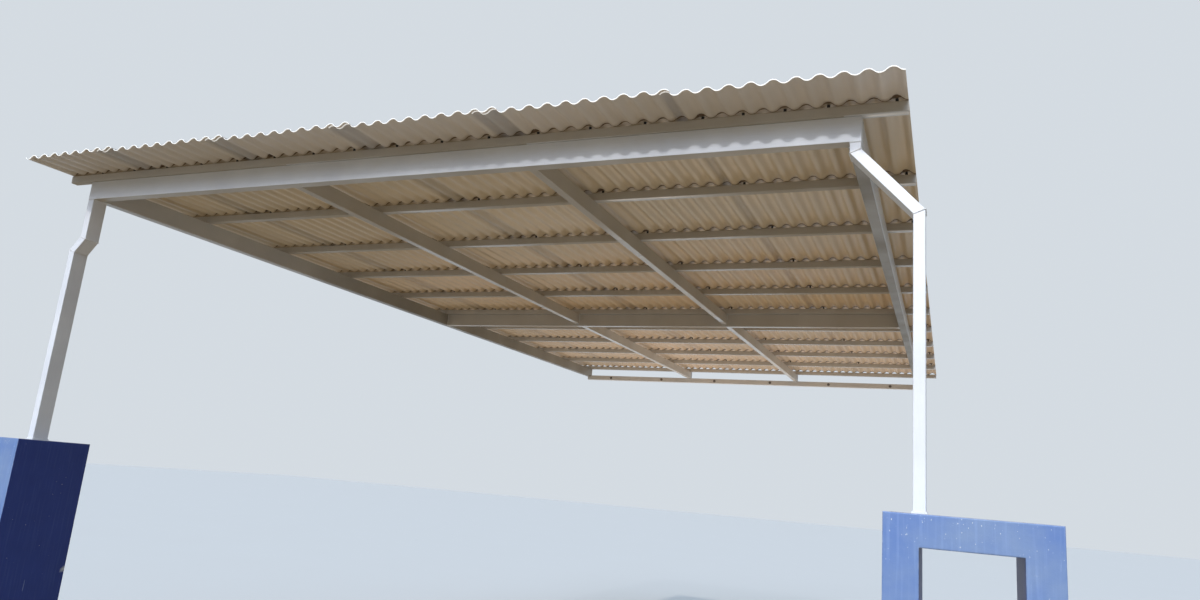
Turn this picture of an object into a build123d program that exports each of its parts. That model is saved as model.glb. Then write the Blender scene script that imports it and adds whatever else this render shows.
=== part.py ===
# Lean-to carport: cranked tube posts on painted masonry piers, a welded tube frame under
# lapped corrugated plastic sheets, and a wall plate that is bolted to the house.
# X runs to the right seen from the street, Y towards the house, Z up, all in millimetres.
# The origin lies on the wall plate's back face, at the middle of its height, midway between
# the outer faces of the two post feet.
import os
from math import atan, cos, radians, sin, sqrt, tan

from build123d import *

# Layout
DEPTH = 6700              # street face of the front beam to the house wall
POST_SPREAD = 4076        # outer faces of the two posts at their feet
GROUND_TO_BEAM = 2774     # ground to the underside of the front beam
ROOF_RISE = 0.01          # rise of the roof towards the house for each unit of depth

# Masonry piers
PIER_HEIGHT = 1550
PIER_WIDTH = 480
PIER_DEPTH = 370
RIGHT_PIER_MARGIN = 81    # pier's inner face to the post's inner face
LEFT_PIER_MARGIN = 56
PIER_FRONT_MARGIN = 104   # pier's street face to the post's street face
WINDOW_WIDTH = 275
WINDOW_HEIGHT = 900
WINDOW_TOP_MARGIN = 97

# Posts
POST_WIDTH = 38
POST_DEPTH = 76
FOOT_PLATE = 5
FOOT_PLATE_MARGIN = 4
RIGHT_CRANK_IN = 205
RIGHT_CRANK_TOP = 33      # upper bend of the right post below the front beam
LEFT_CRANK_IN = 60
LEFT_CRANK_TOP = 206      # upper bend of the left post below the front beam
CRANK_ANGLE = 42          # slanted run measured from the vertical

# Frame tubes
BEAM_WIDTH = 48
BEAM_HEIGHT = 95
RAFTER_WIDTH = 38
RAFTER_HEIGHT = 76
TUBE_WALL = 2
TUBE_CORNER = 3
LEFT_BAY = 1258           # middle of the left rafter to that of the first inner rafter
MIDDLE_BAY = 1226         # between the middles of the two inner rafters
WALL_PLATE_HEIGHT = 50
WALL_PLATE_THICKNESS = 50

# Purlins
PURLIN = 38
PURLIN_WALL = 1.6
EDGE_PURLIN_PROUD = 8     # the first purlin beyond the front beam's street face
FIRST_BAY_DEPTH = 699     # street face of the front beam to that of the second purlin
REGULAR_BAY_COUNT = 9     # equal spaces from the second purlin to the wall plate
MID_BEAM_BAY_COUNT = 4    # equal spaces from the second purlin to the one on the mid beam
MID_BEAM_STEP_BACK = 18   # that purlin's street face to the mid beam's street face

# Corrugated sheets
WAVE_PITCH = 76
WAVE_RISE = 17
SHEET_THICKNESS = 1.5
SHEET_HALF_WAVE_COUNT = 21
LAP_HALF_WAVE_COUNT = 3
LAST_LAP_HALF_WAVE_COUNT = 1   # the rightmost sheet is laid further out than the others
TRIM_HALF_WAVE_COUNT = 5       # sawn off the leftmost sheet
SHEET_COUNT = 6
LAP_CLEARANCE = 0.3
FRONT_OVERHANG = 228      # the right sheet's street end beyond the front beam's street face
OVERHANG_GROWTH = 6       # added to the overhang for each sheet to the left
END_OUT_OF_SQUARE = 9     # how far a sheet's right corner stands before its left one
RIGHT_OVERHANG = 153      # sheet edge beyond the right end of the front beam
PURLIN_SHORTFALL = 10     # sheet edge beyond the purlin's left end
SHEET_WALL_GAP = 20       # sheets' house end to the wall

os.makedirs("parts", exist_ok=True)

slope = atan(ROOF_RISE)
front_face = -DEPTH
plate_front = -WALL_PLATE_THICKNESS

# Levels are worked out upwards from the wall plate, whose middle is at height zero.
inner_rafter_bottom_at_plate = WALL_PLATE_HEIGHT / 2
roof_plane_at_plate = inner_rafter_bottom_at_plate + RAFTER_HEIGHT / cos(slope)
beam_top = roof_plane_at_plate - (plate_front - front_face) * ROOF_RISE
beam_bottom = beam_top - BEAM_HEIGHT
ground = beam_bottom - GROUND_TO_BEAM
pier_top = ground + PIER_HEIGHT

# The roof plane touches the tops of the rafters: local Y runs up the slope from the front beam.
roof_plane = Plane(
    origin=(0, front_face, beam_top),
    x_dir=(1, 0, 0),
    z_dir=(0, -sin(slope), cos(slope)),
)
roof_run = DEPTH / cos(slope)
plate_run = (DEPTH - WALL_PLATE_THICKNESS) / cos(slope)

left_post_x = -POST_SPREAD / 2 + POST_WIDTH / 2
right_post_x = POST_SPREAD / 2 - POST_WIDTH / 2
beam_left = left_post_x + LEFT_CRANK_IN - POST_WIDTH / 2
beam_right = right_post_x - RIGHT_CRANK_IN + POST_WIDTH / 2


def save(builder, name):
    """Label one finished piece and write its STEP file."""
    builder.part.label = name
    export_step(builder.part, f"parts/{name}.step")


def tube_profile(width, height):
    """Hollow rectangle with rounded corners, drawn in the open sketch."""
    RectangleRounded(width, height, TUBE_CORNER)
    Rectangle(width - 2 * TUBE_WALL, height - 2 * TUBE_WALL, mode=Mode.SUBTRACT)


# Piers
def pier(name, side, margin):
    """One masonry pier. The side is +1 at the right and -1 at the left."""
    inner_face = POST_SPREAD / 2 - POST_WIDTH - margin
    centre_x = side * (inner_face + PIER_WIDTH / 2)
    centre_y = front_face - PIER_FRONT_MARGIN + PIER_DEPTH / 2
    centre_z = ground + PIER_HEIGHT / 2
    window_drop = WINDOW_TOP_MARGIN + WINDOW_HEIGHT / 2 - PIER_HEIGHT / 2
    with BuildPart() as block:
        with BuildSketch(Plane.XZ.offset(-centre_y)):
            with Locations((centre_x, centre_z)):
                Rectangle(PIER_WIDTH, PIER_HEIGHT)
            with Locations((centre_x, centre_z - window_drop)):
                Rectangle(WINDOW_WIDTH, WINDOW_HEIGHT, mode=Mode.SUBTRACT)
        extrude(amount=PIER_DEPTH / 2, both=True)
    save(block, name)


pier("left_pier", -1, LEFT_PIER_MARGIN)
pier("right_pier", 1, RIGHT_PIER_MARGIN)

# Posts
post_y = front_face + POST_DEPTH / 2


def post(side_name, foot_x, crank_in, crank_top):
    """A tube post that bends twice, mitred, from its foot plate to the front beam."""
    upper_bend = beam_bottom - crank_top
    lower_bend = upper_bend - abs(crank_in) / tan(radians(CRANK_ANGLE))
    foot = pier_top + FOOT_PLATE
    with BuildPart() as tube:
        with BuildLine(Plane.XZ.offset(-post_y)):
            Polyline(
                (foot_x, foot),
                (foot_x, lower_bend),
                (foot_x + crank_in, upper_bend),
                (foot_x + crank_in, beam_bottom),
            )
        with BuildSketch(Plane.XY.offset(foot).move(Location((foot_x, post_y, 0)))):
            tube_profile(POST_WIDTH, POST_DEPTH)
        sweep(transition=Transition.RIGHT)
    save(tube, f"{side_name}_post")
    with BuildPart() as plate:
        with BuildSketch(Plane.XY.offset(pier_top)):
            with Locations((foot_x, post_y)):
                Rectangle(POST_WIDTH + 2 * FOOT_PLATE_MARGIN, POST_DEPTH + 2 * FOOT_PLATE_MARGIN)
        extrude(amount=FOOT_PLATE)
    save(plate, f"{side_name}_foot_plate")


post("left", left_post_x, LEFT_CRANK_IN, LEFT_CRANK_TOP)
post("right", right_post_x, -RIGHT_CRANK_IN, RIGHT_CRANK_TOP)


# Level tubes from left to right
def level_tube(name, width, height, y_centre, z_centre):
    """A level tube between the frame's left and right ends."""
    with BuildPart() as tube:
        with BuildSketch(Plane.YZ.offset(beam_left)):
            with Locations((y_centre, z_centre)):
                tube_profile(width, height)
        extrude(amount=beam_right - beam_left)
    save(tube, name)


level_tube("front_beam", BEAM_WIDTH, BEAM_HEIGHT, front_face + BEAM_WIDTH / 2, beam_top - BEAM_HEIGHT / 2)
level_tube("wall_plate", WALL_PLATE_THICKNESS, WALL_PLATE_HEIGHT, -WALL_PLATE_THICKNESS / 2, 0)


# The tubes below lie in the sloping roof plane, with runs measured from the front beam's face.
def rafter(name, x_centre, width, height, run_start, run_end):
    """A tube up the slope, its top in the roof plane."""
    section = Plane(
        origin=roof_plane.from_local_coords(Vector(x_centre, run_start, -height / 2)),
        x_dir=(1, 0, 0),
        z_dir=-roof_plane.y_dir,
    )
    with BuildPart() as tube:
        with BuildSketch(section):
            tube_profile(width, height)
        extrude(amount=-(run_end - run_start))
    save(tube, name)


def cross_section(x_start, run_middle, height_middle):
    """The plane of a cross tube's section, in the roof plane's axes."""
    return Plane(
        origin=roof_plane.from_local_coords(Vector(x_start, run_middle, height_middle)),
        x_dir=roof_plane.y_dir,
        z_dir=(1, 0, 0),
    )


# Rafters and mid beam
bay_depth = (plate_run - FIRST_BAY_DEPTH) / REGULAR_BAY_COUNT
mid_beam_run = FIRST_BAY_DEPTH + MID_BEAM_BAY_COUNT * bay_depth + MID_BEAM_STEP_BACK
outer_end = plate_run - BEAM_HEIGHT * tan(slope)
inner_end = roof_run - RAFTER_HEIGHT * tan(slope)
left_rafter_x = beam_left + BEAM_WIDTH / 2
right_rafter_x = beam_right - BEAM_WIDTH / 2
rafter("left_rafter", left_rafter_x, BEAM_WIDTH, BEAM_HEIGHT, BEAM_WIDTH, outer_end)
rafter("right_rafter", right_rafter_x, BEAM_WIDTH, BEAM_HEIGHT, BEAM_WIDTH, outer_end)

inner_rafter_places = (left_rafter_x + LEFT_BAY, left_rafter_x + LEFT_BAY + MIDDLE_BAY)
for number, x in enumerate(inner_rafter_places, start=1):
    rear_start = mid_beam_run + BEAM_WIDTH
    rafter(f"front_rafter_{number}", x, RAFTER_WIDTH, RAFTER_HEIGHT, BEAM_WIDTH, mid_beam_run)
    rafter(f"rear_rafter_{number}", x, RAFTER_WIDTH, RAFTER_HEIGHT, rear_start, inner_end)

mid_beam_section = cross_section(beam_left + BEAM_WIDTH, mid_beam_run + BEAM_WIDTH / 2, -BEAM_HEIGHT / 2)
with BuildPart() as mid_beam:
    with BuildSketch(mid_beam_section):
        tube_profile(BEAM_WIDTH, BEAM_HEIGHT)
    extrude(amount=beam_right - beam_left - 2 * BEAM_WIDTH)
save(mid_beam, "mid_beam")

# Sheet layout from the right: the last sheet's edge is turned down into a valley.
half_wave = WAVE_PITCH / 2
quarter_wave = WAVE_PITCH / 4
sheet_width = SHEET_HALF_WAVE_COUNT * half_wave
cover = (SHEET_HALF_WAVE_COUNT - LAP_HALF_WAVE_COUNT) * half_wave
roof_right = beam_right + RIGHT_OVERHANG
last_sheet_left = roof_right - quarter_wave - sheet_width
regular_sheets_right = last_sheet_left + LAST_LAP_HALF_WAVE_COUNT * half_wave
first_sheet_left = regular_sheets_right - (SHEET_COUNT - 2) * cover - sheet_width
roof_left = first_sheet_left + TRIM_HALF_WAVE_COUNT * half_wave


# Purlins
def purlin(number, run_start):
    """A square tube across the tops of the rafters."""
    start = roof_left + PURLIN_SHORTFALL
    with BuildPart() as tube:
        with BuildSketch(cross_section(start, run_start + PURLIN / 2, PURLIN / 2)):
            Rectangle(PURLIN, PURLIN)
            offset(amount=-PURLIN_WALL, kind=Kind.INTERSECTION, mode=Mode.SUBTRACT)
        extrude(amount=roof_right - start)
    save(tube, f"purlin_{number:02d}")


purlin(1, -EDGE_PURLIN_PROUD)
for bay in range(REGULAR_BAY_COUNT + 1):
    purlin(bay + 2, FIRST_BAY_DEPTH + bay * bay_depth)

# Corrugated sheets. Each one lies on the purlins at its left edge and passes over the next
# sheet's first waves at its right, so it leans by one thickness over the width that it covers.
lean = (SHEET_THICKNESS + LAP_CLEARANCE) / cover
wave_radius = (quarter_wave**2 + (WAVE_RISE / 2) ** 2) / WAVE_RISE


def wave_point(x, face):
    """A point of the profile, where face is the height of the face's own valleys."""
    step, along = divmod(x, half_wave)
    bulge = sqrt(wave_radius**2 - (along - quarter_wave) ** 2) - wave_radius + WAVE_RISE / 2
    return (x, face + WAVE_RISE / 2 + (bulge if step % 2 == 0 else -bulge))


def wave_edge(first, tail, face):
    """Arcs along one face of a sheet: one for each half wave, and one for the tail if there is any."""
    for step in range(first, SHEET_HALF_WAVE_COUNT):
        x = step * half_wave
        middle = wave_point(x + quarter_wave, face)
        ThreePointArc(wave_point(x, face), middle, wave_point(x + half_wave, face))
    if tail:
        x = sheet_width
        ThreePointArc(wave_point(x, face), wave_point(x + tail / 2, face), wave_point(x + tail, face))


def sheet(number, left, first=0, tail=0):
    """One sheet from its first half wave to its last, with a tail that turns down into the valley."""
    start = first * half_wave
    end = sheet_width + tail
    overhang = FRONT_OVERHANG + (SHEET_COUNT - number) * OVERHANG_GROWTH
    out_of_square = roof_plane.y_dir * (END_OUT_OF_SQUARE / cover)
    across = roof_plane.x_dir - out_of_square + roof_plane.z_dir * lean
    section = Plane(
        origin=roof_plane.from_local_coords(Vector(left, END_OUT_OF_SQUARE - overhang, PURLIN)),
        x_dir=across,
        z_dir=across.cross(roof_plane.z_dir),
    )
    with BuildPart() as waves:
        with BuildSketch(section):
            with BuildLine():
                wave_edge(first, tail, 0)
                wave_edge(first, tail, SHEET_THICKNESS)
                Line(wave_point(start, 0), wave_point(start, SHEET_THICKNESS))
                Line(wave_point(end, 0), wave_point(end, SHEET_THICKNESS))
            make_face()
        extrude(amount=overhang + roof_run - SHEET_WALL_GAP, dir=roof_plane.y_dir)
    save(waves, f"roof_sheet_{number}")


sheet(1, first_sheet_left, first=TRIM_HALF_WAVE_COUNT)
for number in range(2, SHEET_COUNT):
    sheet(number, first_sheet_left + (number - 1) * cover)
sheet(SHEET_COUNT, last_sheet_left, tail=quarter_wave)
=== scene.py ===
"""Looks of the lean-to carport around its CAD frame: metres, X right, Y to the rear, Z up."""

from math import atan, cos, exp, hypot, pi, radians, sin, sqrt, tan

import bmesh
import bpy
from mathutils import Matrix, Vector, noise

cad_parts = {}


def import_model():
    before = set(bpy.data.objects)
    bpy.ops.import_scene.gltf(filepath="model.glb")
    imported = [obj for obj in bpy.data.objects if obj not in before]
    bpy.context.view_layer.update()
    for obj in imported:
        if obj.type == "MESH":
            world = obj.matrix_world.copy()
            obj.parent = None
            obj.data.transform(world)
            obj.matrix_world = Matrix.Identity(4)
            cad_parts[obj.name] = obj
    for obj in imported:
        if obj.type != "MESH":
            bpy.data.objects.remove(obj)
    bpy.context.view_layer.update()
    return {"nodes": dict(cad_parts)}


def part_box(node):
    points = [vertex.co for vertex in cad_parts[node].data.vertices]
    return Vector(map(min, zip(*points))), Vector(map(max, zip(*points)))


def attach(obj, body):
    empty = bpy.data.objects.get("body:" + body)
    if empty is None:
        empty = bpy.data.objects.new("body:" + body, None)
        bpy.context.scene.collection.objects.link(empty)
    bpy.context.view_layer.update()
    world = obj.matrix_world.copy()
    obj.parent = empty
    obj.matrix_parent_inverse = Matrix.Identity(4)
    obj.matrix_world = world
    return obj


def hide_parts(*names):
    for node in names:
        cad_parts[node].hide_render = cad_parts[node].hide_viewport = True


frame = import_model()
nodes = frame["nodes"]
MM = 0.001
TINY = 1e-6

# Places taken from the frame
PURLIN_NUMBERS = range(1, 12)
LAST_PURLIN = PURLIN_NUMBERS[-1]
SHEET_NUMBERS = range(1, 7)
FRONT_RAFTERS = ["front_rafter_1", "front_rafter_2"]
REAR_RAFTERS = ["rear_rafter_1", "rear_rafter_2"]
SIDE_RAFTERS = ["left_rafter", "right_rafter"]
PURLIN_SIDE = 38 * MM
purlin_half = PURLIN_SIDE / 2
beam_low, beam_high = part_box("front_beam")
first_purlin_low, first_purlin_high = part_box("purlin_01")
last_purlin_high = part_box("purlin_11")[1]
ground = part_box("left_pier")[0].z

roof_climb = last_purlin_high.z - first_purlin_high.z
slope = atan(roof_climb / (last_purlin_high.y - first_purlin_high.y))
roof_origin = Vector((0, beam_low.y, beam_high.z))
side_axis = Vector((1, 0, 0))
run_axis = Vector((0, cos(slope), sin(slope)))
up_axis = Vector((0, -sin(slope), cos(slope)))


def on_roof(x, run, height):
    """A point in the roof's own axes. The run goes up the slope from the beam's street face."""
    return roof_origin + side_axis * x + run_axis * run + up_axis * height


def run_of(y):
    """The run at which the roof plane passes over a place in the frame."""
    return (y - roof_origin.y) / cos(slope)


def purlin_name(number):
    return f"purlin_{number:02d}"


def purlin_run(number):
    """The run of a purlin's centre line."""
    low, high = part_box(purlin_name(number))
    return run_of((low.y + high.y) / 2 + purlin_half * sin(slope))


purlin_runs = [purlin_run(number) for number in PURLIN_NUMBERS]


# Mesh helpers
def placed(name, data):
    """A new object in the scene."""
    obj = bpy.data.objects.new(name, data)
    bpy.context.scene.collection.objects.link(obj)
    return obj


def mesh_object(name, bm, material):
    mesh = bpy.data.meshes.new(name)
    bm.to_mesh(mesh)
    bm.free()
    mesh.materials.append(material)
    return placed(name, mesh)


def piece(name, bm, material, replaced=(), smooth_angle=40):
    """Turns a bmesh into a piece that rides on the frame."""
    bmesh.ops.recalc_face_normals(bm, faces=bm.faces)
    obj = mesh_object(name, bm, material)
    for polygon in obj.data.polygons:
        polygon.use_smooth = True
    obj.data.set_sharp_from_angle(angle=radians(smooth_angle))
    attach(obj, "root")
    if replaced:
        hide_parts(*replaced)


def loft(bm, rings, capped=False):
    """Joins rings of equally many points with quads."""
    rows = [[bm.verts.new(point) for point in ring] for ring in rings]
    for low, high in zip(rows, rows[1:]):
        count = len(low)
        for i in range(count):
            j = (i + 1) % count
            bm.faces.new((low[i], low[j], high[j], high[i]))
    if capped:
        bm.faces.new(rows[0])
        bm.faces.new(rows[-1][::-1])


def circle(centre, axis, radius, sides):
    """Points round an axis of length 1."""
    across = axis.orthogonal().normalized()
    other = axis.cross(across)
    angles = [2 * pi * i / sides for i in range(sides)]
    return [centre + (across * cos(a) + other * sin(a)) * radius for a in angles]


def turned(bm, foot, axis, outline, sides):
    """A turned form around an axis from its foot, where outline gives (distance along, radius)."""
    axis = axis.normalized()
    rings = [circle(foot + axis * along, axis, radius, sides) for along, radius in outline]
    loft(bm, rings, capped=True)


def uneven(base, swing, *place):
    """A value that wanders smoothly from place to place, by swing at most around its base."""
    return base + swing * noise.noise(Vector(place))


# Node helpers
class Shader:
    """A material or world that is written from its pattern to its surface."""

    def __init__(self, name, is_world=False):
        kind = bpy.data.worlds if is_world else bpy.data.materials
        self.owner = kind.new(name)
        self.owner.use_nodes = True
        self.tree = self.owner.node_tree
        self.tree.nodes.clear()

    def add(self, kind, output, inputs=(), **settings):
        """Adds a node with its inputs linked or set, by name or number, and gives one output."""
        made = self.tree.nodes.new("ShaderNode" + kind)
        for key, value in settings.items():
            setattr(made, key, value)
        for key, value in dict(inputs).items():
            if isinstance(value, bpy.types.NodeSocket):
                self.tree.links.new(value, made.inputs[key])
            else:
                made.inputs[key].default_value = value
        return made.outputs[output]

    def place(self, stretch=(1, 1, 1)):
        """The place on the piece in metres, squeezed along each axis."""
        where = self.add("TexCoord", "Object")
        return self.add("Mapping", "Vector", {"Vector": where, "Scale": stretch})

    def noise(self, scale, detail=3, stretch=(1, 1, 1), roughness=0.5):
        look = {"Scale": scale, "Detail": detail, "Roughness": roughness}
        return self.add("TexNoise", "Fac", {"Vector": self.place(stretch), **look})

    def spread(self, value, low, high, to_low=0.0, to_high=1.0):
        """Maps low..high to to_low..to_high, and holds the ends."""
        ends = {"From Min": low, "From Max": high, "To Min": to_low, "To Max": to_high}
        return self.add("MapRange", "Result", {"Value": value, **ends})

    def math(self, operation, first, second=0.0):
        return self.add("Math", 0, {0: first, 1: second}, operation=operation)

    def times(self, first, second):
        return self.math("MULTIPLY", first, second)

    def larger(self, first, second):
        return self.math("MAXIMUM", first, second)

    def mix(self, factor, first, second):
        """From the first colour to the second."""
        return self.add("Mix", 2, {"Factor": factor, 6: first, 7: second}, data_type="RGBA")

    def part(self, vector, axis):
        return self.add("SeparateXYZ", axis, {0: vector})

    def along(self, axis):
        """The place on the piece along one axis, in metres."""
        return self.part(self.place(), axis)

    def mark(self, name):
        """A value that the mesh code painted on the points."""
        return self.add("Attribute", "Fac", attribute_name=name)

    def facing(self, axis, low, high):
        """0 to 1 as the surface turns from low to high along an axis."""
        return self.spread(self.part(self.add("NewGeometry", "Normal"), axis), low, high)

    def bump(self, height, distance, below=None):
        """A relief of so many metres, on another one where it is given."""
        relief = {"Height": height, "Distance": distance}
        if below is not None:
            relief["Normal"] = below
        return self.add("Bump", "Normal", relief)

    def surface(self, **values):
        """A Principled surface, with values by socket name."""
        named = {name.replace("_", " "): value for name, value in values.items()}
        return self.add("BsdfPrincipled", 0, named)

    def blend(self, factor, first, second):
        """From the first surface or light to the second."""
        return self.add("MixShader", 0, {0: factor, 1: first, 2: second})

    def finish(self, shader, output="OutputMaterial"):
        made = self.tree.nodes.new("ShaderNode" + output)
        self.tree.links.new(shader, made.inputs["Surface"])
        return self.owner

    def coat(self, **values):
        """The material with one Principled surface."""
        return self.finish(self.surface(**values))


def rgb(red, green, blue):
    return (red, green, blue, 1.0)


# Painted tubes
BRUSH_STRETCH = {"x": (0.06, 1, 1), "y": (1, 0.06, 1), "z": (1, 1, 0.06)}
ENAMEL = rgb(0.80, 0.80, 0.81)
ENAMEL_GREY = rgb(0.70, 0.70, 0.72)
ENAMEL_BRUSHED = rgb(0.55, 0.55, 0.56)
TOP_DUST = rgb(0.33, 0.29, 0.23)
TUBE_RUST = rgb(0.23, 0.11, 0.05)
# The two film colours paint shade, with some dust: they darken the tubes where the roof shades
# them.
BROWN_FILM_AND_SHADE = rgb(0.42, 0.36, 0.275)
DARK_FILM_AND_SHADE = rgb(0.195, 0.17, 0.125)
FILM_ROUGHNESS = 0.8
WIPED_GLOSS = 0.24

# The film on each kind of tube, some dust but mostly painted shade under the roof: how much lies on
# its sides and undersides, and the share of that near the street and far from it, with the depth
# where one turns into the other
SHADE_TURN_LENGTH = 1.1
SHADE_FILMS = {
    "street": dict(colour=BROWN_FILM_AND_SHADE, sides=0.0, under=1.0, near=1.0, far=1.0, turn=-3.7),
    "cross": dict(colour=BROWN_FILM_AND_SHADE, sides=0.85, under=0.7, near=1.0, far=0.5, turn=-3.7),
    "inner": dict(colour=BROWN_FILM_AND_SHADE, sides=0.85, under=0.3, near=1.0, far=0.5, turn=-3.7),
    "outer": dict(colour=DARK_FILM_AND_SHADE, sides=0.9, under=1.0, near=0.5, far=1.0, turn=-5.4),
}

# The bays under the roof: their axis, the first one's start, and the length of each
BAYS = {"cross": ("X", -0.696, 1.235), "inner": ("Y", -6.7, 3.1)}


def place_in_bay(s, shelter):
    """0 to 1 from one end of each bay to the other."""
    axis, start, length = BAYS[shelter]
    return s.math("FRACT", s.math("DIVIDE", s.math("SUBTRACT", s.along(axis), start), length))


def facing_down(s):
    return s.facing("Z", -0.4, -0.95)


def outward_faces_lit(s):
    """How much of the film stays on the side tubes: least on the faces that look outwards, which
    paints the light from the open sides on them.
    """
    turned_to_x = s.spread(s.facing("X", -1.0, 1.0), 0.0, 1.0, -1.0, 1.0)
    return s.spread(s.times(s.along("X"), turned_to_x), 0.5, 1.2, 1.0, 0.2)


def shade_and_glint_in_bay(s):
    """The cross tubes' share: more to the right on their sides, as painted shade, and growing in
    each bay below, which leaves a painted glint at each bay's start, except on the left.
    """
    on_sides = s.spread(s.along("X"), -2.1, 0.4, 0.85, 1.0)
    below = s.spread(place_in_bay(s, "cross"), 0.1, 0.6, 0.3, 1.4)
    below = s.larger(below, s.spread(s.along("X"), -1.0, -0.7, 1.4, 0.0))
    return s.mix(facing_down(s), on_sides, below)


def film_and_shade_amount(s, shelter, cloud):
    """How much film, that is dust and painted shade, lies on one kind of tube."""
    shade_film = SHADE_FILMS[shelter]
    amount = s.spread(s.facing("Z", -0.95, -0.4), 0.0, 1.0, shade_film["under"], shade_film["sides"])
    amount = s.times(amount, s.spread(cloud, 0.25, 0.75, 0.82, 1.0))
    turn = shade_film["turn"]
    by_depth = s.spread(s.along("Y"), turn, turn + SHADE_TURN_LENGTH, shade_film["near"], shade_film["far"])
    # Painted shade: the right rafter dark all along, the left one darker further back, and the
    # faces that look outwards lighter.
    if shelter == "outer":
        by_depth = s.larger(by_depth, s.spread(s.along("X"), -0.5, 0.5))
        amount = s.times(amount, outward_faces_lit(s))
    amount = s.times(amount, by_depth)
    # Painted shade under the inner rafters near the street, so that their undersides show light
    # only further back.
    if shelter == "inner":
        near_street = s.spread(s.along("Y"), -5.9, -5.0, 0.95, 0.0)
        amount = s.larger(amount, s.times(near_street, facing_down(s)))
    if shelter == "cross":
        amount = s.times(amount, shade_and_glint_in_bay(s))
    return amount


def enamel_roughness(s, shelter, cloud, shade_film):
    """Dull under the film, and glossy where one end of each bay is clean below."""
    roughness = s.spread(cloud, 0.3, 0.7, 0.34, 0.5)
    if shelter not in BAYS:
        return roughness
    at_clean_end = s.spread(place_in_bay(s, shelter), 0.35, 0.7, 1.0, 0.0)
    wiped = s.times(at_clean_end, s.facing("Z", -0.6, -0.95))
    dulled = s.larger(roughness, s.times(shade_film, FILM_ROUGHNESS))
    return s.math("SUBTRACT", dulled, s.times(wiped, WIPED_GLOSS))


def painted_steel(axis, shelter):
    """White enamel brushed along the tube, with dust on top, rust spots and the shelter's film,
    which is painted shade with some dust.
    """
    s = Shader(f"{shelter}_steel_{axis}")
    cloud = s.noise(3.0, detail=4)
    brush = s.noise(160.0, stretch=BRUSH_STRETCH[axis])
    speck = s.noise(95.0, detail=6, roughness=0.7)
    patch = s.noise(9.0)
    paint = s.mix(s.spread(cloud, 0.35, 0.7), ENAMEL, ENAMEL_GREY)
    paint = s.mix(s.spread(brush, 0.35, 0.75, 0.0, 0.13), paint, ENAMEL_BRUSHED)
    dust = s.times(s.facing("Z", 0.3, 0.9), s.spread(patch, 0.3, 0.7, 0.3, 0.8))
    paint = s.mix(dust, paint, TOP_DUST)
    shade_film = None
    # The film darkens the paint as painted shade under the roof, with some dust.
    if shelter in SHADE_FILMS:
        shade_film = film_and_shade_amount(s, shelter, cloud)
        paint = s.mix(shade_film, paint, SHADE_FILMS[shelter]["colour"])
    rust = s.times(s.spread(speck, 0.66, 0.72), s.spread(patch, 0.52, 0.66))
    relief = s.bump(s.noise(28.0, detail=2), 0.6 * MM, s.bump(brush, 0.2 * MM))
    return s.coat(
        Base_Color=s.mix(rust, paint, TUBE_RUST),
        Roughness=enamel_roughness(s, shelter, cloud, shade_film),
        Normal=relief,
        Specular_IOR_Level=0.45,
    )


# Welds, screws, dust with painted shade, and washers
WELD_PAINT = rgb(0.78, 0.78, 0.79)
WELD_PAINT_THIN = rgb(0.68, 0.67, 0.65)
WELD_RUST = rgb(0.25, 0.13, 0.07)
ZINC = rgb(0.20, 0.19, 0.18)
ZINC_RUST = rgb(0.13, 0.075, 0.045)
DUST_AND_SHADE_DARK = rgb(0.14, 0.095, 0.06)
DUST_AND_SHADE_PALE = rgb(0.27, 0.19, 0.125)
RUBBER = rgb(0.022, 0.021, 0.02)
RUBBER_DUSTY = rgb(0.06, 0.055, 0.05)


def weld_paint():
    """The same enamel run over the beads, thin at their tops, where rust comes through."""
    s = Shader("weld_paint")
    patch = s.noise(14.0)
    speck = s.noise(420.0, detail=4, roughness=0.65)
    paint = s.mix(s.spread(patch, 0.4, 0.65), WELD_PAINT, WELD_PAINT_THIN)
    rust = s.times(s.spread(speck, 0.54, 0.66), s.spread(patch, 0.48, 0.66, 0.0, 0.8))
    paint = s.mix(rust, paint, WELD_RUST)
    return s.coat(Base_Color=paint, Roughness=0.5, Normal=s.bump(speck, 0.6 * MM))


def screw_steel():
    """Zinc-coated roofing screws gone dull, with rust where they enter the tube."""
    s = Shader("screw_steel")
    steel = s.mix(s.spread(s.noise(60.0), 0.4, 0.65), ZINC, ZINC_RUST)
    relief = s.bump(s.noise(900.0), 0.3 * MM)
    return s.coat(Base_Color=steel, Metallic=0.6, Roughness=0.55, Normal=relief)


# Dark dust, which also paints the shade between the sheets and the purlins.
def settled_dust_and_shade():
    s = Shader("settled_dust_and_shade")
    dust = s.mix(s.spread(s.noise(35.0, detail=4), 0.35, 0.65), DUST_AND_SHADE_DARK, DUST_AND_SHADE_PALE)
    relief = s.bump(s.noise(400.0), 0.3 * MM)
    return s.coat(Base_Color=dust, Roughness=0.95, Normal=relief, Specular_IOR_Level=0.1)


def washer_rubber():
    s = Shader("washer_rubber")
    rubber = s.mix(s.spread(s.noise(140.0), 0.35, 0.65), RUBBER, RUBBER_DUSTY)
    relief = s.bump(s.noise(700.0, detail=2), 0.3 * MM)
    return s.coat(Base_Color=rubber, Roughness=0.8, Normal=relief)


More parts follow.
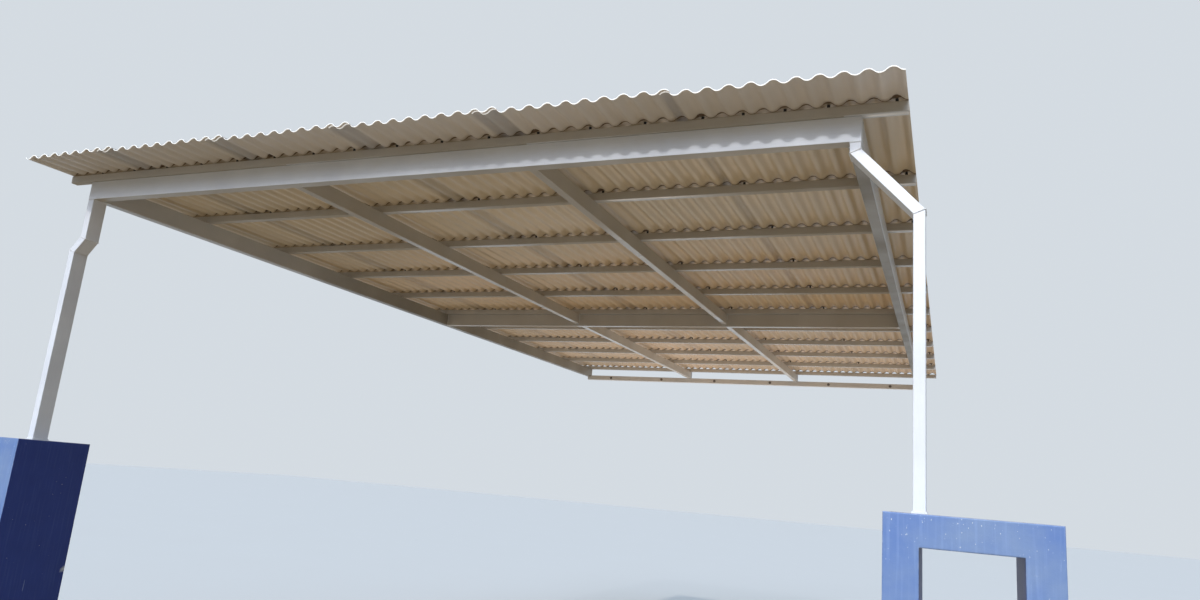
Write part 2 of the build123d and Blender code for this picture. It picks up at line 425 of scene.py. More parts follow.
# Roof plastic: its colours from the street to the wall, with the depths between which each sets in.
# These colours also paint the light: greyer and paler on the overhang, lighter and warmer towards
# the wall.
PLASTIC_LIT_AT_STREET = rgb(0.82, 0.82, 0.87)
PLASTIC_AND_LIGHT_BY_DEPTH = (
    (-7.0, -6.3, rgb(0.72, 0.60, 0.43)),
    (-5.6, -4.2, rgb(0.78, 0.565, 0.34)),
    (-3.4, -1.5, rgb(0.95, 0.76, 0.60)),
)
PLASTIC_CLOUDED = rgb(0.60, 0.55, 0.46)
PLASTIC_STREAKED = rgb(0.50, 0.44, 0.35)
PLASTIC_LEFT_SHADE = rgb(0.38, 0.33, 0.24)
PLASTIC_BLEACHED = rgb(0.66, 0.64, 0.60)
PLASTIC_STAIN_AND_SHADE = rgb(0.27, 0.19, 0.12)
VALLEY_GRIME = rgb(0.20, 0.16, 0.11)
THROUGH = rgb(0.76, 0.62, 0.44)
THROUGH_SHARE = 0.25
SAWN = rgb(0.90, 0.90, 0.89)
SAWN_DIRTY = rgb(0.74, 0.73, 0.70)
# The sawn ends glow with light of their own: a painted glow.
EDGE_GLOW = rgb(1.0, 0.99, 0.96)
EDGE_GLOW_STRENGTH = 0.55


def plastic_colour(s, cloud, streak):
    """Cream, greyer on the overhang and lighter to the wall as painted light, darker to the left
    and over the purlins as painted shade, stained there too, bleached and dirty on top.
    """
    body = PLASTIC_LIT_AT_STREET
    for start, end, colour in PLASTIC_AND_LIGHT_BY_DEPTH:
        body = s.mix(s.spread(s.along("Y"), start, end), body, colour)
    body = s.mix(s.spread(cloud, 0.3, 0.7, 0.0, 0.5), body, PLASTIC_CLOUDED)
    body = s.mix(s.spread(streak, 0.45, 0.75, 0.0, 0.12), body, PLASTIC_STREAKED)
    # Painted shade: the sheets darker towards the left.
    body = s.mix(s.spread(s.along("X"), -2.2, -0.3, 0.3, 0.0), body, PLASTIC_LEFT_SHADE)
    on_top = s.facing("Z", 0.1, 0.6)
    bleach = s.times(on_top, s.spread(cloud, 0.3, 0.7, 0.75, 0.45))
    body = s.mix(bleach, body, PLASTIC_BLEACHED)
    # Stains on the underside over the purlins, which also paint the shade where the sheets lie on
    # them.
    below = s.spread(s.facing("Z", 0.0, 0.3), 0.0, 1.0, 0.6, 0.0)
    body = s.mix(s.times(s.mark("stain_and_shade"), below), body, PLASTIC_STAIN_AND_SHADE)
    grime = s.times(s.times(s.mark("valley"), on_top), s.spread(cloud, 0.3, 0.6, 0.35, 0.9))
    return s.mix(grime, body, VALLEY_GRIME)


def opal_plastic():
    """Plastic sheet that lets a little light through, dull on top."""
    s = Shader("opal_plastic")
    cloud = s.noise(1.3, detail=4, roughness=0.6)
    streak = s.noise(26.0, stretch=(1, 0.02, 1))
    grain = s.noise(240.0, detail=2)
    dull_on_top = s.spread(s.facing("Z", 0.0, 0.3), 0.0, 1.0, 0.0, 0.62)
    skin = s.surface(
        Base_Color=plastic_colour(s, cloud, streak),
        Roughness=s.larger(s.spread(cloud, 0.3, 0.7, 0.3, 0.4), dull_on_top),
        Normal=s.bump(grain, 0.02 * MM, s.bump(streak, 0.1 * MM)),
        Specular_IOR_Level=0.3,
    )
    through = s.add("BsdfTranslucent", 0, {"Color": THROUGH})
    return s.finish(s.blend(THROUGH_SHARE, skin, through))


def glowing_cut_edge():
    """The sawn street end of a sheet, with a painted glow: it gives off light of its own, for the
    light that runs inside the plastic.
    """
    s = Shader("glowing_cut_edge")
    grain = s.noise(300.0)
    cloud = s.noise(9.0)
    body = s.mix(s.spread(cloud, 0.35, 0.7, 0.0, 0.5), SAWN, SAWN_DIRTY)
    return s.coat(
        Base_Color=body,
        Roughness=0.5,
        Normal=s.bump(grain, 0.2 * MM),
        Emission_Color=EDGE_GLOW,
        Emission_Strength=EDGE_GLOW_STRENGTH,
    )


# Wall paint of the piers
WALL_BLUE = rgb(0.020, 0.045, 0.235)
WALL_BLUE_DEEP = rgb(0.014, 0.034, 0.19)
BLEACHED_AND_LIT_BLUE = rgb(0.215, 0.295, 0.455)
BLEACHED_AND_LIT_BLUE_DEEP = rgb(0.13, 0.215, 0.45)
BRUSH_MARK_BLUE = rgb(0.34, 0.45, 0.70)
SCRATCH_BLUE = rgb(0.36, 0.44, 0.68)
CHIP_GREY = rgb(0.62, 0.64, 0.66)
WORN_BLUE = rgb(0.40, 0.46, 0.60)
PIER_DUST = rgb(0.42, 0.42, 0.42)
SPLASH_LOW = ground + 1.35
SPLASH_HIGH = ground + 1.53


def wall_colour(s, cloud, street):
    """Two blues, the street side far lighter, both bleached by the sun and painted sunlight, with
    brush marks and fine scratches.
    """
    brush = s.noise(110.0, stretch=(1, 1, 0.05))
    fresh = s.mix(s.spread(cloud, 0.3, 0.7), WALL_BLUE, WALL_BLUE_DEEP)
    # The street side's lighter blues are sun bleaching and painted sunlight together.
    bleached_and_lit = s.mix(s.spread(cloud, 0.35, 0.65), BLEACHED_AND_LIT_BLUE, BLEACHED_AND_LIT_BLUE_DEEP)
    blue = s.mix(street, fresh, bleached_and_lit)
    brushed = s.times(s.spread(brush, 0.5, 0.75), s.spread(street, 0.0, 1.0, 0.04, 0.2))
    blue = s.mix(brushed, blue, BRUSH_MARK_BLUE)
    scratch = s.noise(34.0, detail=2, stretch=(1.6, 1.6, 0.14))
    return s.mix(s.spread(scratch, 0.752, 0.765, 0.0, 0.4), blue, SCRATCH_BLUE)


def bare_spots(s, street):
    """Where the paint is off: the chips in the mesh, small specks, and splashes near the top."""
    height = s.spread(s.along("Z"), SPLASH_LOW, SPLASH_HIGH)
    splash = s.noise(210.0, detail=1, stretch=(1, 1, 0.55))
    splash = s.times(s.spread(splash, 0.74, 0.76), s.times(height, street))
    speck = s.spread(s.noise(120.0, detail=1), 0.80, 0.81, 0.0, 0.7)
    return s.larger(s.mark("chip"), s.larger(splash, speck))


def blue_render():
    """Smooth wall paint, with pale worn arrises and dust on top."""
    s = Shader("blue_render")
    cloud = s.noise(4.0, detail=5, roughness=0.6)
    grain = s.noise(55.0, detail=5, roughness=0.6)
    street = s.facing("Y", -0.35, -0.75)
    blue = s.mix(bare_spots(s, street), wall_colour(s, cloud, street), CHIP_GREY)
    worn = s.times(s.mark("arris"), s.spread(grain, 0.4, 0.65, 0.15, 0.6))
    blue = s.mix(worn, blue, WORN_BLUE)
    dust = s.times(s.facing("Z", 0.5, 0.9), s.spread(cloud, 0.35, 0.65, 0.55, 0.85))
    blue = s.mix(dust, blue, PIER_DUST)
    relief = s.bump(s.noise(420.0), 0.2 * MM, s.bump(grain, 0.5 * MM))
    return s.coat(Base_Color=blue, Roughness=0.5, Normal=relief, Specular_IOR_Level=0.35)


# Corrugated sheets, which step 9 mm to the street over the 684 mm that each one covers
WAVE_PITCH = 76 * MM
WAVE_RISE = 17 * MM
SHEET_THICKNESS = 1.5 * MM
LAP_CLEARANCE = 0.3 * MM
LAP_HALF_WAVES = 3
SHEET_HALF_WAVES = 21
TRIMMED_HALF_WAVES = 5
SHEET_SKEW = 9 / 684
half_wave = WAVE_PITCH / 2
quarter_wave = WAVE_PITCH / 4
sheet_cover = (SHEET_HALF_WAVES - LAP_HALF_WAVES) * half_wave
sheet_lean = (SHEET_THICKNESS + LAP_CLEARANCE) / sheet_cover
wave_radius = (quarter_wave**2 + (WAVE_RISE / 2) ** 2) / WAVE_RISE
last_crest = first_purlin_high.x - quarter_wave - quarter_wave

# Screws, counted from the right: on the first purlin mostly every third crest, then one at each
# lap, and on the last purlin in the valleys beside the laps
CRESTS_PER_SCREW = 3
CLOSER_CRESTS = (3, 5, 7)
crest_count = int((last_crest - first_purlin_low.x) / WAVE_PITCH) + 1
further_crests = range(CLOSER_CRESTS[-1] + 2, crest_count, CRESTS_PER_SCREW)
screwed_crests = sorted({0, *CLOSER_CRESTS, *further_crests})
street_screws = [last_crest - WAVE_PITCH * i for i in screwed_crests]
lap_screws = [last_crest - sheet_cover * i for i in range(len(SHEET_NUMBERS))]
valley_screws = [place - half_wave for place in lap_screws]


def screw_places(number):
    if number == LAST_PURLIN:
        return valley_screws
    return street_screws if number == 1 else lap_screws


def wave_height(x):
    """Height of a sheet's underside over its valleys. The first crest is from 0 to half a wave."""
    step, along = divmod(x, half_wave)
    bulge = sqrt(wave_radius**2 - (along - quarter_wave) ** 2) - wave_radius + WAVE_RISE / 2
    return WAVE_RISE / 2 + (bulge if step % 2 == 0 else -bulge)


SAG = 1.6 * MM
STREET_DROOP = 2.6 * MM
STREET_OVERHANG = 0.22
DROOP_BEND = 1.5
DIMPLE = 1.8 * MM
DIMPLE_ACROSS = 9 * MM
DIMPLE_ALONG = 14 * MM


def sag(x, run):
    """How far the plastic hangs down between two purlins or beyond the first one."""
    if run < purlin_runs[0] - purlin_half:
        reach = (purlin_runs[0] - purlin_half - run) / STREET_OVERHANG
        return STREET_DROOP * reach**DROOP_BEND * uneven(0.55, 0.45, x * 2.3, 5.1, 0)
    for near, far in zip(purlin_runs, purlin_runs[1:]):
        if near + purlin_half < run < far - purlin_half:
            part = (run - near - purlin_half) / (far - near - 2 * purlin_half)
            return SAG * sin(pi * part) * uneven(0.6, 0.4, x * 1.7, far * 3.1, 0)
    return 0.0


def dimple(x, run, number):
    """How deep the nearest screw of one purlin presses the crest."""
    along = (run - purlin_runs[number - 1]) / DIMPLE_ALONG
    nearest = min(abs(x - place) for place in screw_places(number)) / DIMPLE_ACROSS
    return DIMPLE * exp(-along * along - nearest * nearest)


STRAIGHT_ROW_STEP = 90 * MM
LEAST_ROW_STEP = 1.5 * MM
ROWS_AT_PURLIN = (-34 * MM, -14 * MM, 0, 14 * MM, 34 * MM)
ROWS_AT_END = (0, 2 * MM, 6 * MM, 14 * MM, 34 * MM)
POINTS_PER_HALF_WAVE = 6
STREET_END_MARGIN = 1.2 * MM
STAIN_REACH = 24 * MM


def sheet_rows(street, rear):
    """Where a sheet's rows of points lie, close together at its ends and over the purlins."""
    rows = [street + step for step in ROWS_AT_END] + [rear - step for step in ROWS_AT_END]
    for run in purlin_runs:
        rows += [run + step for step in ROWS_AT_PURLIN]
    for near, far in zip([street] + purlin_runs, purlin_runs):
        count = int((far - near) / STRAIGHT_ROW_STEP)
        rows += [near + (far - near) * (i + 1) / (count + 1) for i in range(count)]
    rows = sorted(row for row in rows if street <= row <= rear)
    kept = [rows[0]]
    for row in rows[1:-1]:
        if row - kept[-1] > LEAST_ROW_STEP and rows[-1] - row > LEAST_ROW_STEP:
            kept.append(row)
    return kept + [rows[-1]]


class WaveSheet:
    """The shape of one sheet: where its left edge, its ends and each of its points are."""

    def __init__(self, number):
        self.name = f"roof_sheet_{number}"
        low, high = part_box(self.name)
        self.first = TRIMMED_HALF_WAVES * half_wave if number == 1 else 0.0
        self.left = low.x - self.first
        self.width = high.x - self.left
        self.laid = self.width - self.first
        skewed = self.laid * SHEET_SKEW
        self.rows = sheet_rows(run_of(low.y) + STREET_END_MARGIN + skewed, run_of(high.y))
        self.columns = round(self.laid / half_wave * POINTS_PER_HALF_WAVE)

    def x_of(self, column):
        """The distance of a column of points from the sheet's first half wave."""
        return self.first + self.laid * column / self.columns

    def run_at(self, x, row):
        """The run of a point in a row, which is skewed."""
        return row - (x - self.first) * SHEET_SKEW

    def wave(self, x):
        return wave_height(min(x, self.width - TINY))

    def stained_and_shaded(self, x, row):
        """1 over a purlin, patchy, and 0 away from it."""
        run = self.run_at(x, row)
        if min(abs(run - place) for place in purlin_runs) > STAIN_REACH:
            return 0.0
        return max(0.0, min(1.0, uneven(0.75, 1, (self.left + x) * 14, run * 9, 0)))

    def point(self, x, row, above):
        """A point a little above the underside, with sag and the press of the nearest screw."""
        wave = self.wave(x)
        run = self.run_at(x, row)
        place_x = self.left + x
        nearest = min(PURLIN_NUMBERS, key=lambda number: abs(purlin_runs[number - 1] - run))
        drop = sag(place_x, run) + dimple(place_x, run, nearest) * wave / WAVE_RISE
        return on_roof(place_x, run, PURLIN_SIDE + sheet_lean * x + wave + above - drop)


def sheet_skin(bm, sheet, above, valley, stain_and_shade):
    """The points of one side of a sheet, row by row, with the marks that its material reads."""
    grid = []
    for row in sheet.rows:
        line = []
        for column in range(sheet.columns + 1):
            x = sheet.x_of(column)
            vert = bm.verts.new(sheet.point(x, row, above))
            vert[valley] = (1 - sheet.wave(x) / WAVE_RISE) ** 2
            vert[stain_and_shade] = sheet.stained_and_shaded(x, row)
            line.append(vert)
        grid.append(line)
    return grid


def wave_sheet(sheet, material):
    """One sheet with both its sides and the four edges between them."""
    bm = bmesh.new()
    valley = bm.verts.layers.float.new("valley")
    stain_and_shade = bm.verts.layers.float.new("stain_and_shade")
    under, over = [sheet_skin(bm, sheet, above, valley, stain_and_shade) for above in (0.0, SHEET_THICKNESS)]
    strips = [pair for grid in (under, over) for pair in zip(grid, grid[1:])]
    strips += [(under[0], over[0]), (under[-1], over[-1])]
    for near, far in strips:
        for i in range(sheet.columns):
            bm.faces.new((near[i], near[i + 1], far[i + 1], far[i]))
    for i in (0, sheet.columns):
        for j in range(len(sheet.rows) - 1):
            bm.faces.new((under[j][i], under[j + 1][i], over[j + 1][i], over[j][i]))
    piece(sheet.name + "_plastic", bm, material, (sheet.name,), smooth_angle=50)


RIM_DEPTH = 3.2 * MM
RIM_PROUD = 0.35 * MM
RIM_NOSE = 0.3 * MM


def sheet_rim(sheet, material):
    """The sawn street end, a little thicker than the sheet and ragged."""
    bm = bmesh.new()
    street = sheet.rows[0]
    low, high = -RIM_PROUD, SHEET_THICKNESS + RIM_PROUD
    rings = []
    for column in range(sheet.columns + 1):
        x = sheet.x_of(column)
        ragged = uneven(1, 0.5, (sheet.left + x) * 90, 2.0, 0)
        back, nose = street + RIM_DEPTH * ragged, street - RIM_NOSE * ragged
        outline = [(back, low * 0.2), (street + RIM_NOSE, low), (nose, low * 0.4)]
        outline += [(nose, high * 0.9), (street + RIM_NOSE, high), (back, high * 0.95)]
        rings.append([sheet.point(x, row, above) for row, above in outline])
    loft(bm, rings, capped=True)
    piece(sheet.name + "_rim", bm, material, smooth_angle=50)


DUST_POINTS = 5
HEAP_SHIFT = 9 * MM
HEAP_ACROSS = 17 * MM
HEAP_GROWTH = 1.9
DUST_SECTION = (
    (-3.4 * MM, 0.3 * MM),
    (-1.6 * MM, -0.6 * MM),
    (2.0 * MM, -0.8 * MM),
    (4.0 * MM, 0.3 * MM),
)


def dust_and_shade_size(sheet, x, number):
    """How large the dust is: more under the crests, where it also paints the shade in their gaps,
    and heaped beside each lap's screw.
    """
    size = uneven(1, 0.45, (sheet.left + x) * 40, number * 3.3, 0)
    size *= 0.35 + 1.15 * sheet.wave(x) / WAVE_RISE
    off = min(abs(sheet.left + x + HEAP_SHIFT - place) for place in lap_screws) / HEAP_ACROSS
    return size * (1 + HEAP_GROWTH * exp(-off * off))


def dust_and_shade_line(number, sheets, material):
    """Dust and cobweb caught under the sheets along a purlin's street edge, which also paint the
    shade there.
    """
    bm = bmesh.new()
    edge = purlin_runs[number - 1] - purlin_half
    for sheet, following in zip(sheets, sheets[1:] + [None]):
        reach = following.left - sheet.left if following else sheet.width
        count = round((reach - sheet.first) / half_wave * DUST_POINTS)
        rings = []
        for i in range(count + 1):
            x = sheet.first + (reach - sheet.first) * i / count
            row = edge + (x - sheet.first) * SHEET_SKEW
            size = dust_and_shade_size(sheet, x, number)
            section = [(row + along * size, above) for along, above in DUST_SECTION]
            rings.append([sheet.point(x, at, above) for at, above in section])
        loft(bm, rings, capped=True)
    piece(f"dust_{purlin_name(number)}", bm, material, smooth_angle=60)


# Purlins as drawn tubes with round corners and open ends
PURLIN_WALL = 1.6 * MM
PURLIN_CORNER = 3.2 * MM
CORNER_STEPS = 4


def round_square(side, corner):
    """Points round a square with round corners, from -side/2 to side/2."""
    reach = side / 2 - corner
    points = []
    for turn, (sx, sy) in enumerate(((1, 1), (-1, 1), (-1, -1), (1, -1))):
        for i in range(CORNER_STEPS + 1):
            angle = (turn + i / CORNER_STEPS) * pi / 2
            points.append((sx * reach + corner * cos(angle), sy * reach + corner * sin(angle)))
    return points


def purlin_tube(number, material):
    name = purlin_name(number)
    run = purlin_runs[number - 1]
    low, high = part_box(name)
    outer = round_square(PURLIN_SIDE, PURLIN_CORNER)
    inner = round_square(PURLIN_SIDE - 2 * PURLIN_WALL, PURLIN_CORNER - PURLIN_WALL)

    def ring(outline, x):
        return [on_roof(x, run + across, purlin_half + up) for across, up in outline]

    bm = bmesh.new()
    rings = [ring(outer, low.x), ring(outer, high.x), ring(inner, high.x), ring(inner, low.x)]
    loft(bm, rings + [rings[0]])
    bmesh.ops.remove_doubles(bm, verts=bm.verts, dist=TINY)
    piece(name + "_tube", bm, material, replaced=(name,))


# Screws, with outlines of (distance along, radius)
SHANK_RADIUS = 2.9 * MM
THREAD_PITCH = 2.4 * MM
THREAD_DEPTH = 0.5 * MM
TIP_RADIUS = 0.3 * MM
TIP_LENGTH = 7 * MM
HEAD_RADIUS = 4.6 * MM
HEAD_HEIGHT = 4.6 * MM
FLANGE_RADIUS = 5.8 * MM
FLANGE_HEIGHT = 1.2 * MM
WASHER_RADIUS = 7.5 * MM
WASHER_HEIGHT = 2.4 * MM
WASHER_SUNK = 0.4 * MM
SLEEVE_RADIUS = 5.2 * MM
SLEEVE_HEIGHT = WAVE_RISE - DIMPLE
SHANK_SIDES = 8
HEAD_SIDES = 6
WASHER_SIDES = 16
WASHER_OUTLINE = (
    (-WASHER_SUNK, WASHER_RADIUS * 0.8),
    (0, WASHER_RADIUS),
    (WASHER_HEIGHT * 0.7, WASHER_RADIUS * 0.97),
    (WASHER_HEIGHT, WASHER_RADIUS * 0.85),
)
SLEEVE_OUTLINE = (
    (0, SLEEVE_RADIUS * 1.12),
    (SLEEVE_HEIGHT * 0.12, SLEEVE_RADIUS),
    (SLEEVE_HEIGHT * 0.5, SLEEVE_RADIUS * 1.06),
    (SLEEVE_HEIGHT * 0.88, SLEEVE_RADIUS),
    (SLEEVE_HEIGHT, SLEEVE_RADIUS * 1.12),
)
FLANGE_OUTLINE = (
    (0, FLANGE_RADIUS),
    (FLANGE_HEIGHT * 0.6, FLANGE_RADIUS),
    (FLANGE_HEIGHT, HEAD_RADIUS * 1.05),
)
HEAD_OUTLINE = (
    (0, HEAD_RADIUS),
    (HEAD_HEIGHT * 0.8, HEAD_RADIUS),
    (HEAD_HEIGHT, HEAD_RADIUS * 0.82),
)


def seat_height(number):
    """How high the washers lie: on the pressed crests, or on the last purlin in the valleys."""
    if number == LAST_PURLIN:
        return PURLIN_SIDE + SHEET_THICKNESS * 2 + LAP_CLEARANCE
    return PURLIN_SIDE + WAVE_RISE + SHEET_THICKNESS * 2 - DIMPLE + LAP_CLEARANCE


def shank_outline(length):
    """A pointed shank with its thread."""
    core = SHANK_RADIUS - THREAD_DEPTH
    outline = [(0, TIP_RADIUS), (TIP_LENGTH * 0.8, core)]
    along = TIP_LENGTH
    while along < length - THREAD_PITCH:
        outline += [(along, core), (along + THREAD_PITCH / 2, SHANK_RADIUS)]
        along += THREAD_PITCH
    return outline + [(length, SHANK_RADIUS)]


def screw(metal, rubber, x, number):
    """A roofing screw through a sheet into its purlin, with its washer pressed on the sheet."""
    run = purlin_runs[number - 1]
    height = seat_height(number)
    tip = PURLIN_SIDE - PURLIN_WALL - TIP_LENGTH
    turned(metal, on_roof(x, run, tip), up_axis, shank_outline(height - tip), SHANK_SIDES)
    seat = on_roof(x, run, height)
    turned(rubber, seat, up_axis, WASHER_OUTLINE, WASHER_SIDES)
    if number < LAST_PURLIN:
        turned(rubber, on_roof(x, run, PURLIN_SIDE), up_axis, SLEEVE_OUTLINE, WASHER_SIDES)
    turned(metal, seat + up_axis * WASHER_HEIGHT, up_axis, FLANGE_OUTLINE, WASHER_SIDES)
    head_foot = seat + up_axis * (WASHER_HEIGHT + FLANGE_HEIGHT)
    turned(metal, head_foot, up_axis, HEAD_OUTLINE, HEAD_SIDES)


def purlin_screws(number, steel, rubber):
    """All screws of one purlin as one piece, and their washers and sleeves as another."""
    screws, washers = bmesh.new(), bmesh.new()
    for place in screw_places(number):
        screw(screws, washers, place, number)
    piece(f"screws_{number:02d}", screws, steel)
    piece(f"washers_{number:02d}", washers, rubber)


# Weld beads
BEAD_RADIUS = 2.8 * MM
BEAD_STEP = 2.6 * MM
BEAD_SIDES = 7
BEAD_LUMPS = 130.0
BEAD_UNEVEN = 0.22
BEAD_RIPPLE = (-0.06, 0.12)
BEAD_WANDER = 0.15
BEAD_END = 0.45


def bead(bm, start, end):
    """A rippled run of weld between two points."""
    run = end - start
    count = max(3, round(run.length / BEAD_STEP))
    axis = run.normalized()
    rings = []
    for i in range(count + 1):
        centre = start + run * (i / count)
        lump = noise.noise(centre * BEAD_LUMPS)
        size = BEAD_RADIUS * (1 + BEAD_UNEVEN * lump + BEAD_RIPPLE[i % 2])
        if i in (0, count):
            size *= BEAD_END
        centre = centre + Vector((0, 0, 1)) * (BEAD_RADIUS * BEAD_WANDER * lump)
        rings.append(circle(centre, axis, size, BEAD_SIDES))
    loft(bm, rings, capped=True)


def bead_ring(bm, corners):
    """A weld all round a joint, given its corners in order."""
    for start, end in zip(corners, corners[1:] + corners[:1]):
        bead(bm, Vector(start), Vector(end))


POST_WIDTH = 38 * MM
LEAN_HALF = radians(21)
LEFT_BENDS = ((-2019 * MM, -333.1 * MM), (-1959 * MM, -266.5 * MM))
RIGHT_BENDS = ((2019 * MM, -321.2 * MM), (1814 * MM, -93.5 * MM))
post_half = POST_WIDTH / 2


def round_post(centre, low, high, z_left, z_right):
    """Corners round a post, where a cut goes from z_left to z_right."""
    left, right = (centre - post_half, z_left), (centre + post_half, z_right)
    corners = ((left, low.y), (right, low.y), (right, high.y), (left, high.y))
    return [(x, y, z) for (x, z), y in corners]


def post_welds(material):
    """Beads round the mitred bends, the feet and the tops of both posts."""
    bm = bmesh.new()
    rise = post_half * tan(LEAN_HALF)
    for name, bends, side in (("left_post", LEFT_BENDS, -1), ("right_post", RIGHT_BENDS, 1)):
        low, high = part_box(name)
        for centre, height in bends:
            bead_ring(bm, round_post(centre, low, high, height - side * rise, height + side * rise))
        foot, top = bends[0][0], bends[1][0]
        bead_ring(bm, round_post(foot, low, high, low.z, low.z))
        bead_ring(bm, round_post(top, low, high, high.z, high.z))
    piece("welds_posts", bm, material)


RAFTER_SINK = 2 * MM
PLATE_WELD_MARGIN = 4 * MM
CROSSING_MARGIN = 6 * MM
CROSSING_LIFT = 1 * MM
MID_BEAM_REACH = 30 * MM


def rafter_end_welds(bm, name):
    """Beads across the bottom and up both sides of a rafter's ends, except at the wall."""
    low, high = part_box(name)
    climb = (high.y - low.y) * tan(slope)
    tall = high.z - low.z - climb
    for y, lift in ((low.y, 0.0), (high.y, climb)):
        if y > -RAFTER_SINK:
            continue
        foot, top = low.z + lift, low.z + lift + tall - RAFTER_SINK
        for x, x_end, z_end in ((low.x, high.x, foot), (low.x, low.x, top), (high.x, high.x, top)):
            bead(bm, Vector((x, y, foot)), Vector((x_end, y, z_end)))


def mid_beam_welds(bm):
    """Beads up and under both ends of the middle beam."""
    low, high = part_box("mid_beam")
    for x in (low.x, high.x):
        for y in (low.y, high.y):
            bead(bm, Vector((x, y, low.z)), Vector((x, y, high.z - RAFTER_SINK)))
        bead(bm, Vector((x, low.y, low.z)), Vector((x, high.y, low.z)))


def plate_welds(bm):
    """Beads along the inner rafters where they lie on the wall plate."""
    plate_low, plate_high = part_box("wall_plate")
    for name in REAR_RAFTERS:
        low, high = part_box(name)
        for x in (low.x, high.x):
            start = Vector((x, plate_low.y, plate_high.z))
            bead(bm, start, Vector((x, plate_high.y - PLATE_WELD_MARGIN, plate_high.z)))


def rafter_welds(material):
    """All the welds at the rafters' ends."""
    bm = bmesh.new()
    for name in FRONT_RAFTERS + REAR_RAFTERS + SIDE_RAFTERS:
        rafter_end_welds(bm, name)
    mid_beam_welds(bm)
    plate_welds(bm)
    piece("welds_rafters", bm, material)


def crossing_welds(material):
    """Beads where the purlins lie on the rafters. The first purlin has its street side flush."""
    bm = bmesh.new()
    mid_run = run_of(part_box("mid_beam")[0].y) + MID_BEAM_REACH
    for number in PURLIN_NUMBERS:
        run = purlin_runs[number - 1]
        inner_rafters = FRONT_RAFTERS if run < mid_run else REAR_RAFTERS
        sides = (purlin_half,) if number == 1 else (-purlin_half, purlin_half)
        for name in SIDE_RAFTERS + inner_rafters:
            low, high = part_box(name)
            for side in sides:
                start = on_roof(low.x + CROSSING_MARGIN, run + side, CROSSING_LIFT)
                bead(bm, start, on_roof(high.x - CROSSING_MARGIN, run + side, CROSSING_LIFT))
    piece("welds_purlins", bm, material)


# End caps and wall bolts
CAP_INSET = 3 * MM
CAP_SECTION = ((2.5 * MM, CAP_INSET), (-0.2 * MM, CAP_INSET), (-0.6 * MM, CAP_INSET + MM))


def end_caps(material):
    """Plates welded into the open ends of the front beam and the wall plate."""
    bm = bmesh.new()
    for name in ("front_beam", "wall_plate"):
        low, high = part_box(name)
        for x, inward in ((low.x, 1), (high.x, -1)):
            rings = []
            for depth, inset in CAP_SECTION:
                place = x + inward * depth
                y_low, y_high = low.y + inset, high.y - inset
                z_low, z_high = low.z + inset, high.z - inset
                corners = ((y_low, z_low), (y_high, z_low), (y_high, z_high), (y_low, z_high))
                rings.append([(place, y, z) for y, z in corners])
            loft(bm, rings, capped=True)
    piece("end_caps", bm, material)


BOLT_SPACING = 640 * MM
BOLT_COUNT = 6
BOLT_RADIUS = 9.8 * MM
BOLT_HEIGHT = 7 * MM
BOLT_SIDES = 6
BOLT_WASHER_RADIUS = 14 * MM
BOLT_WASHER_HEIGHT = 2.2 * MM
BOLT_WASHER_SIDES = 24
BOLT_OUTLINE = (
    (0, BOLT_RADIUS),
    (BOLT_HEIGHT * 0.85, BOLT_RADIUS),
    (BOLT_HEIGHT, BOLT_RADIUS * 0.86),
)
BOLT_WASHER_OUTLINE = (
    (-1 * MM, BOLT_WASHER_RADIUS),
    (BOLT_WASHER_HEIGHT, BOLT_WASHER_RADIUS),
    (BOLT_WASHER_HEIGHT + 0.3 * MM, BOLT_WASHER_RADIUS * 0.94),
)


def wall_bolts(material):
    """Hex bolts with washers through the wall plate."""
    bm = bmesh.new()
    low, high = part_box("wall_plate")
    centre = (low.x + high.x) / 2
    to_street = Vector((0, -1, 0))
    for i in range(BOLT_COUNT):
        x = centre + BOLT_SPACING * (i - (BOLT_COUNT - 1) / 2)
        seat = Vector((x, low.y, (low.z + high.z) / 2))
        turned(bm, seat, to_street, BOLT_WASHER_OUTLINE, BOLT_WASHER_SIDES)
        turned(bm, seat + to_street * BOLT_WASHER_HEIGHT, to_street, BOLT_OUTLINE, BOLT_SIDES)
    piece("wall_bolts", bm, material)


# Piers
PIER_ARRIS = 4 * MM
PIER_STEP = 18 * MM
PIER_ARRIS_STEPS = (2 * MM, 5 * MM, 9 * MM)
arris_reach = PIER_ARRIS_STEPS[-1]
PIER_WINDOW_SIDE = 275 * MM
PIER_WINDOW_HEIGHT = 900 * MM
PIER_WINDOW_TOP = 97 * MM
PLASTER_UNEVEN = 1.6 * MM
PLASTER_SWELLS = 3.1
PLASTER_GRAIN = 17.0
CHIP_GRAIN = 34.0
CHIP_PLACE = Vector((3.7, 1.3, 9.1))
CHIP_LIMIT = 0.7
CHIP_PALING = 12
CHIP_SLOPE = 5
CHIP_DEPTH = 4 * MM


def stations(low, high, between=()):
    """Places for mesh lines from low to high, closer at the ends and at the places between."""
    marks = sorted([low, *between, high])
    places = set(marks)
    for near, far in zip(marks, marks[1:]):
        for step in PIER_ARRIS_STEPS:
            places |= {near + step, far - step}
        start = near + arris_reach
        length = far - near - 2 * arris_reach
        count = max(1, round(length / PIER_STEP))
        places |= {start + length * i / count for i in range(count + 1)}
    ordered = sorted(places)
    return [p for i, p in enumerate(ordered) if i == 0 or p - ordered[i - 1] > TINY]


def pier_window(low, high):
    """The lowest and highest corners of a pier's window opening."""
    centre_x = (low.x + high.x) / 2
    top = high.z - PIER_WINDOW_TOP
    gap_low = Vector((centre_x - PIER_WINDOW_SIDE / 2, low.y, top - PIER_WINDOW_HEIGHT))
    return gap_low, Vector((centre_x + PIER_WINDOW_SIDE / 2, high.y, top))


